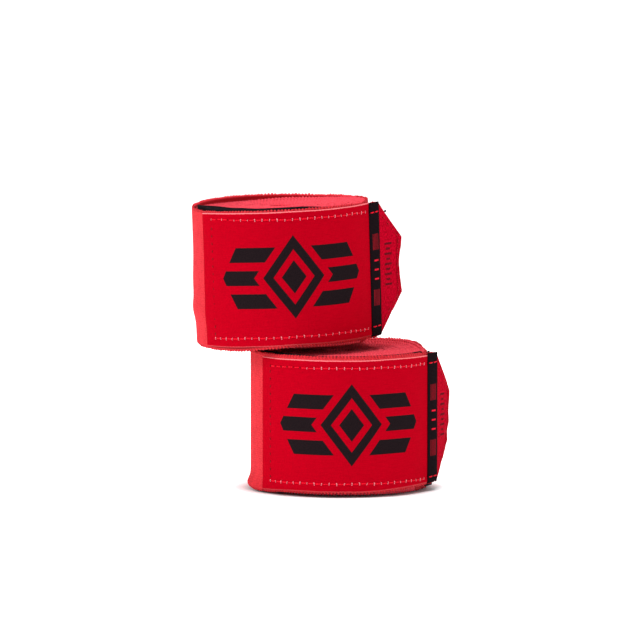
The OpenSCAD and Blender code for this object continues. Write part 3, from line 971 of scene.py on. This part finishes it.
def loop_tape_stitching(wrap):
    """Two rows of stitches that hold the loop tape, sunk in its pile."""
    angle, radius, s = evenly(*loop_line(), 0.35)
    surface = radius + LOOP_T / 2
    bars = []
    for row in (ROW_INSET, WEB_W - ROW_INSET):
        for start in np.arange(2.0, s[-1] - 4.0, STITCH_PITCH):
            ends = [np.interp(x, s, angle) for x in (start, start + 2.2)]
            rise = loop_rise(wrap, ends[0]) + row
            rise -= sag(wrap, ends[0], rise)
            p = [np.append(radial(e) * (np.interp(e, angle, surface) - 0.08), rise) for e in ends]
            bars.append((p[0], p[1], np.append(radial(sum(ends) / 2), 0), 0.22, 0.12, 0))
    piece = thread_piece(wrap.node("loop_tape_thread"), bars, [THREAD], wrap)
    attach(piece, wrap.roll)
    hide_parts(wrap.node("loop_tape_stitching"))
    return piece


def thumb_loop(wrap):
    """The thumb loop's strap, rolled up in the core."""
    width = THUMB_TOP - THUMB_LOW
    turns = (CORE_R - 0.6 - STRAP_R) / STRAP_PITCH
    angle = np.linspace(-360 * turns, 0, int(turns * 90))
    angle, radius, s = evenly(angle, STRAP_R + (angle + 360 * turns) / 360 * STRAP_PITCH, 0.4)
    rows = np.array([0, 0.25, width - 0.25, width])
    share = np.array([0.4, 1, 1, 0.4])
    low = THUMB_LOW + 0.15 * wander(s / 6, 2.0)
    scallop = 0.06 * np.where(np.arange(len(s)) % 2, 1, -1)
    outer, inner = strip(angle, radius, low, STRAP_PITCH * 0.9, rows, share, scallop)
    piece = cloth(wrap, "thumb_strap", (outer, inner), s, rows, [LIT_WOUND_WEBBING])
    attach(piece, wrap.roll)
    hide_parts(wrap.node("thumb_loop"))
    wrap.node("wound_turns")
    return piece


def make_wrap(name):
    """All pieces of one wrap."""
    wrap = Wrap(name)
    wound_turns(wrap)
    outer_turn(wrap)
    flap_webbing(wrap)
    loop_tape(wrap)
    loop_tape_stitching(wrap)
    hook_tape(wrap)
    panel = label(wrap)
    on_label = [label_stitching(wrap), ribbon(wrap), ribbon_stitching(wrap)]
    pull_tab(wrap)
    tab_stitching(wrap)
    thumb_loop(wrap)
    bartack = frame["nodes"][wrap.node("thumb_loop_bartack")]
    bartack.data.materials.clear()
    bartack.data.materials.append(THREAD)


# ---------------------------------------------------------------- floor, light and camera

FLOOR_HALF = 6.0                      # half the floor's side
PAINTED_FLOOR_GLOW = 0.76                     # painted light: the table glows as if lit from below, which keeps its shadows faint
GLOW_FROM, GLOW_TO = 0.0325, 0.044    # but not under the roll, which paints a shadow there: distances from its axis


def floor_material():
    """A pale table top with a painted glow, left dark under the roll as a painted shadow."""
    lit = bpy.data.materials.new("floor_painted_glow")
    lit.use_nodes = True
    tree = lit.node_tree
    where = tree.nodes.new("ShaderNodeTexCoord")
    away = operate(tree, "ShaderNodeVectorMath", "LENGTH", where.outputs["Object"])
    ramp = tree.nodes.new("ShaderNodeMapRange")
    ramp.interpolation_type = "SMOOTHSTEP"
    for socket, value in zip(ramp.inputs[1:5], (GLOW_FROM, GLOW_TO, 0.0, PAINTED_FLOOR_GLOW)):
        socket.default_value = value
    tree.links.new(away["Value"], ramp.inputs[0])
    shader = tree.nodes["Principled BSDF"]
    shader.inputs["Base Color"].default_value = (0.92, 0.92, 0.93, 1)
    shader.inputs["Roughness"].default_value = 0.8
    shader.inputs["Emission Color"].default_value = (1, 1, 1, 1)
    tree.links.new(ramp.outputs[0], shader.inputs["Emission Strength"])
    return lit


def make_floor():
    corners = [(x * FLOOR_HALF, y * FLOOR_HALF, 0) for x, y in ((-1, -1), (1, -1), (1, 1), (-1, 1))]
    mesh = bpy.data.meshes.new("floor")
    mesh.from_pydata(corners, [], [(0, 1, 2, 3)])
    mesh.materials.append(floor_material())
    floor = bpy.data.objects.new("floor", mesh)
    bpy.context.scene.collection.objects.link(floor)


def area_light(name, place, target, size, power):
    """A round soft light."""
    data = bpy.data.lights.new(name, "AREA")
    data.shape = "DISK"
    data.size = size
    data.energy = power
    light = bpy.data.objects.new(name, data)
    light.location = place
    aim(light, target)
    bpy.context.scene.collection.objects.link(light)


def aim(thing, target):
    """Turn a light or camera to look at target."""
    away = np.array(thing.location) - np.array(target)
    thing.rotation_mode = "QUATERNION"
    thing.rotation_quaternion = Vector(away).to_track_quat("Z", "Y")


SKY = 0.148                           # light from all round, and what each side adds to it
SKY_SIDES = [((-1, 0, 0), 0.163), ((1, 0, 0), 0.395), ((0, -1, 0), 0.315), ((0, 0, 1), 0.113)]


def make_light():
    """A sky that is brighter at the front, right and left, and three soft lights."""
    world = bpy.data.worlds.new("studio")
    world.use_nodes = True
    tree = world.node_tree
    background = tree.nodes["Background"]
    background.inputs["Color"].default_value = (1, 1, 1, 1)
    where = tree.nodes.new("ShaderNodeTexCoord")
    total = SKY
    for direction, strength in SKY_SIDES:
        towards = operate(tree, "ShaderNodeVectorMath", "DOT_PRODUCT", where.outputs["Generated"], direction)
        facing = operate(tree, "ShaderNodeMath", "MAXIMUM", towards["Value"], 0.0)
        total = operate(tree, "ShaderNodeMath", "MULTIPLY_ADD", facing[0], strength, total)[0]
    tree.links.new(total, background.inputs["Strength"])
    bpy.context.scene.world = world
    middle = (0, 0, 0.06)
    area_light("key", (-1.0, -0.22, 0.62), middle, 0.45, 6.8)
    area_light("fill", (1.0, -0.9, 0.12), middle, 0.5, 0.6)
    area_light("overhead", (0.15, -0.25, 1.6), middle, 0.9, 17.2)
    bpy.context.scene.view_settings.view_transform = "Standard"


CAMERA_Y = -2.2
CAMERA_HEIGHT = 0.258
CAMERA_X = -0.0071
CAMERA_LENS = 332.0
AIM = (-0.0080, -0.034, 0.0661)


def make_camera():
    data = bpy.data.cameras.new("camera")
    data.lens = CAMERA_LENS
    data.sensor_width = 36
    data.clip_start, data.clip_end = 0.05, 50
    camera = bpy.data.objects.new("camera", data)
    camera.location = (CAMERA_X, CAMERA_Y, CAMERA_HEIGHT)
    aim(camera, AIM)
    bpy.context.scene.collection.objects.link(camera)
    bpy.context.scene.camera = camera


make_wrap("lower")
make_wrap("upper")
make_floor()
make_light()
make_camera()
